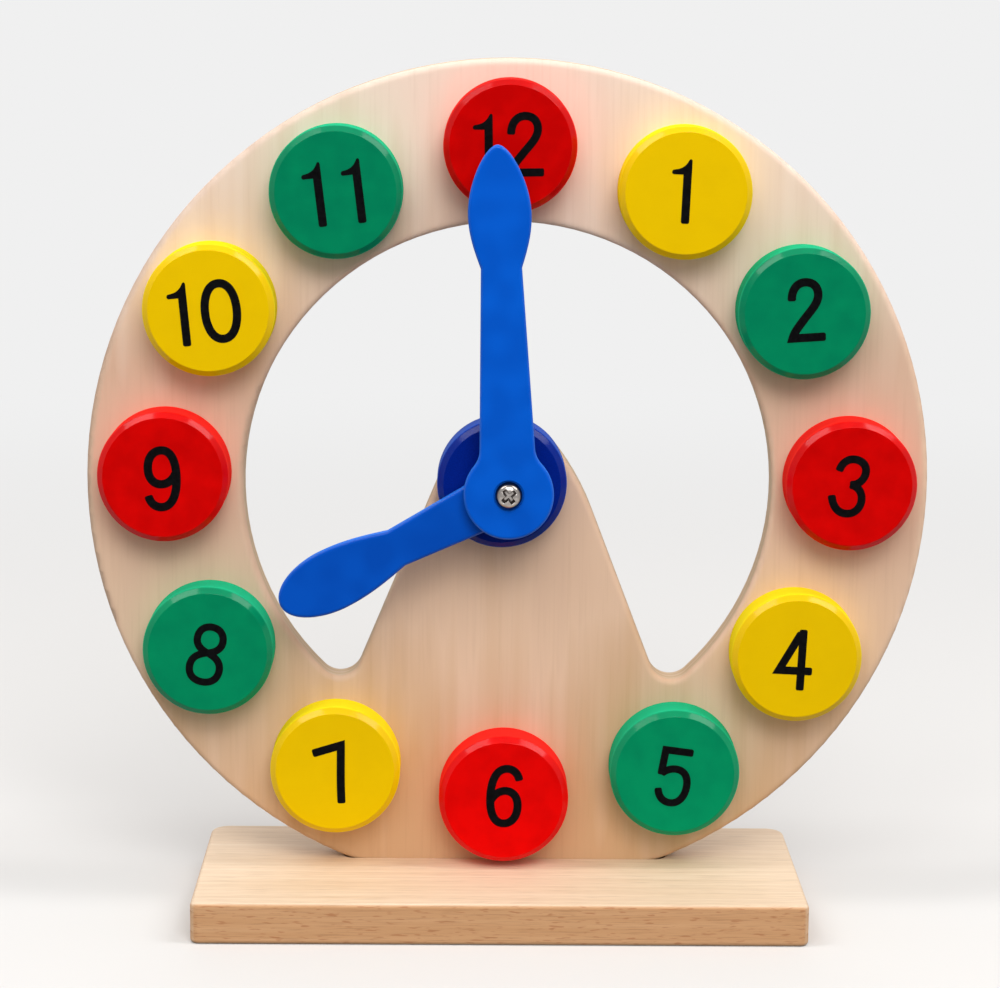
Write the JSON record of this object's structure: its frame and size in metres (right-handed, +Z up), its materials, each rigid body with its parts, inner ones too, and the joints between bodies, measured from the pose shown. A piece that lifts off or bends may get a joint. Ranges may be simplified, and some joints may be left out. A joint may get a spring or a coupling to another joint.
{
  "type": "geared teaching clock",
  "caption": "Wooden teaching clock: a ring dial on a flat base, plug-in number discs, and two hands coupled through a gear train in the hub.",
  "frame": {"origin": "centre of the whole clock's box, at the underside of the base", "axes": "+Z up, the dial faces -Y, +X to the viewer's right; the hands' axis runs along Y at x = 0, 102.4 mm up"},
  "size_m": [0.2, 0.065, 0.2024],
  "materials": {
    "beech": "satin",
    "plywood": "satin",
    "dowel": "matt",
    "red_paint": "gloss paint",
    "yellow_paint": "gloss paint",
    "green_paint": "gloss paint",
    "blue_plastic": "satin",
    "navy_plastic": "satin",
    "gear_plastic": "matt",
    "bright_screw": "polished",
    "zinc_screw": "zinc plated",
    "steel_pin": "ground",
    "brass": "turned"
  },
  "bodies": {
    "stand": {"base_block": "beech", "base_screws": "zinc_screw", "dial_plate": "plywood", "hub_housing": "navy_plastic", "housing_screws": "zinc_screw", "centre_bush": "brass", "intermediate_stud": "steel_pin"},
    "minute": {"minute_arbor": "steel_pin", "minute_hand": "blue_plastic", "hand_screw": "bright_screw", "friction_washer": "brass", "back_washer": "steel_pin", "retaining_clip": "steel_pin"},
    "hour": {"hour_wheel": "gear_plastic", "hour_hand": "blue_plastic"},
    "intermediate": {"intermediate_wheel": "gear_plastic"},
    "plug_01": {"number_disc_01": "yellow_paint", "disc_peg_01": "dowel"},
    "plug_02": {"number_disc_02": "green_paint", "disc_peg_02": "dowel"},
    "plug_03": {"number_disc_03": "red_paint", "disc_peg_03": "dowel"},
    "plug_04": {"number_disc_04": "yellow_paint", "disc_peg_04": "dowel"},
    "plug_05": {"number_disc_05": "green_paint", "disc_peg_05": "dowel"},
    "plug_06": {"number_disc_06": "red_paint", "disc_peg_06": "dowel"},
    "plug_07": {"number_disc_07": "yellow_paint", "disc_peg_07": "dowel"},
    "plug_08": {"number_disc_08": "green_paint", "disc_peg_08": "dowel"},
    "plug_09": {"number_disc_09": "red_paint", "disc_peg_09": "dowel"},
    "plug_10": {"number_disc_10": "yellow_paint", "disc_peg_10": "dowel"},
    "plug_11": {"number_disc_11": "green_paint", "disc_peg_11": "dowel"},
    "plug_12": {"number_disc_12": "red_paint", "disc_peg_12": "dowel"}
  },
  "joints": [
    {"name": "minute_hand_turn", "type": "hinge", "parent": "stand", "child": "minute", "pos_m": [0, 0.0045, 0.1024], "axis": [0, 1, 0], "continuous": true},
    {"name": "hour_hand_turn", "type": "hinge", "parent": "stand", "child": "hour", "pos_m": [0, 0.0045, 0.1024], "axis": [0, 1, 0], "continuous": true},
    {"name": "intermediate_wheel_turn", "type": "hinge", "parent": "stand", "child": "intermediate", "pos_m": [-0.00624, 0.0045, 0.1074], "axis": [0, 1, 0], "continuous": true},
    {"name": "plug_01_pull", "type": "slide", "parent": "stand", "child": "plug_01", "axis": [0, -1, 0], "range_m": [0, 0.0046]},
    {"name": "plug_02_pull", "type": "slide", "parent": "stand", "child": "plug_02", "axis": [0, -1, 0], "range_m": [0, 0.0046]},
    {"name": "plug_03_pull", "type": "slide", "parent": "stand", "child": "plug_03", "axis": [0, -1, 0], "range_m": [0, 0.0046]},
    {"name": "plug_04_pull", "type": "slide", "parent": "stand", "child": "plug_04", "axis": [0, -1, 0], "range_m": [0, 0.0046]},
    {"name": "plug_05_pull", "type": "slide", "parent": "stand", "child": "plug_05", "axis": [0, -1, 0], "range_m": [0, 0.0046]},
    {"name": "plug_06_pull", "type": "slide", "parent": "stand", "child": "plug_06", "axis": [0, -1, 0], "range_m": [0, 0.0046]},
    {"name": "plug_07_pull", "type": "slide", "parent": "stand", "child": "plug_07", "axis": [0, -1, 0], "range_m": [0, 0.0046]},
    {"name": "plug_08_pull", "type": "slide", "parent": "stand", "child": "plug_08", "axis": [0, -1, 0], "range_m": [0, 0.0046]},
    {"name": "plug_09_pull", "type": "slide", "parent": "stand", "child": "plug_09", "axis": [0, -1, 0], "range_m": [0, 0.0046]},
    {"name": "plug_10_pull", "type": "slide", "parent": "stand", "child": "plug_10", "axis": [0, -1, 0], "range_m": [0, 0.0046]},
    {"name": "plug_11_pull", "type": "slide", "parent": "stand", "child": "plug_11", "axis": [0, -1, 0], "range_m": [0, 0.0046]},
    {"name": "plug_12_pull", "type": "slide", "parent": "stand", "child": "plug_12", "axis": [0, -1, 0], "range_m": [0, 0.0046]}
  ],
  "couplings": [
    {"joint": "hour_hand_turn", "follows": "minute_hand_turn", "ratio": 0.083333},
    {"joint": "intermediate_wheel_turn", "follows": "minute_hand_turn", "ratio": -0.33333}
  ]
}
